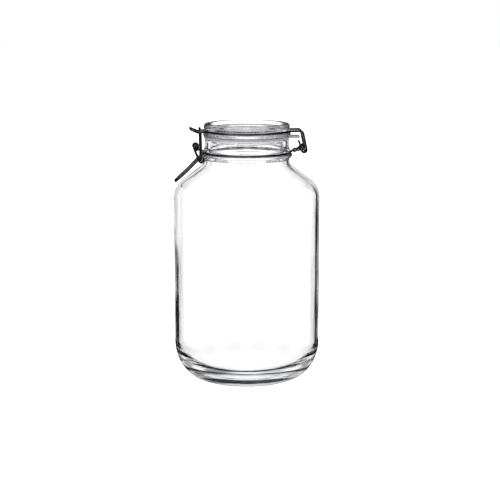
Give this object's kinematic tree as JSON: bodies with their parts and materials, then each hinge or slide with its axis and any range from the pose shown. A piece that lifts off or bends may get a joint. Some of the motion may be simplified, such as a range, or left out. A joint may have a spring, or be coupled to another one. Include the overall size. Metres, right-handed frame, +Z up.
{
  "type": "clip-top glass jar",
  "caption": "Large round clear glass storage jar with a hinged glass lid, a rubber seal ring and an over-centre steel wire latch that clips the lid shut.",
  "frame": {"origin": "middle of the base ring's underside, on the jar's axis", "axes": "+Z up along the jar's axis, the latch at -X, the hinge at +X"},
  "size_m": [0.16, 0.16, 0.283],
  "materials": {
    "jar_glass": "clear gloss",
    "lid_glass": "clear gloss",
    "seal_rubber": "pale translucent matt",
    "steel_wire": "bright drawn"
  },
  "bodies": {
    "jar": {"jar_body": "jar_glass", "neck_wire_right": "steel_wire", "neck_wire_left": "steel_wire"},
    "lid": {"lid_glass": "lid_glass", "lid_wire": "steel_wire", "seal_ring": "seal_rubber"},
    "lever": {"latch_lever": "steel_wire"},
    "bail": {"latch_bail": "steel_wire"}
  },
  "joints": [
    {"name": "lid_hinge", "type": "hinge", "parent": "jar", "child": "lid", "pos_m": [0.06155, 0, 0.2546], "axis": [0, 1, 0], "range_deg": [0, 185]},
    {"name": "lever_hinge", "type": "hinge", "parent": "jar", "child": "lever", "pos_m": [-0.0557, 0, 0.2575], "axis": [0, 1, 0], "range_deg": [0, 100]},
    {"name": "bail_hinge", "type": "hinge", "parent": "lever", "child": "bail", "pos_m": [-0.0502, 0, 0.2439], "axis": [0, 1, 0], "range_deg": [-67, 0]}
  ],
  "couplings": [
    {"joint": "bail_hinge", "follows": "lever_hinge", "ratio": -0.67}
  ]
}
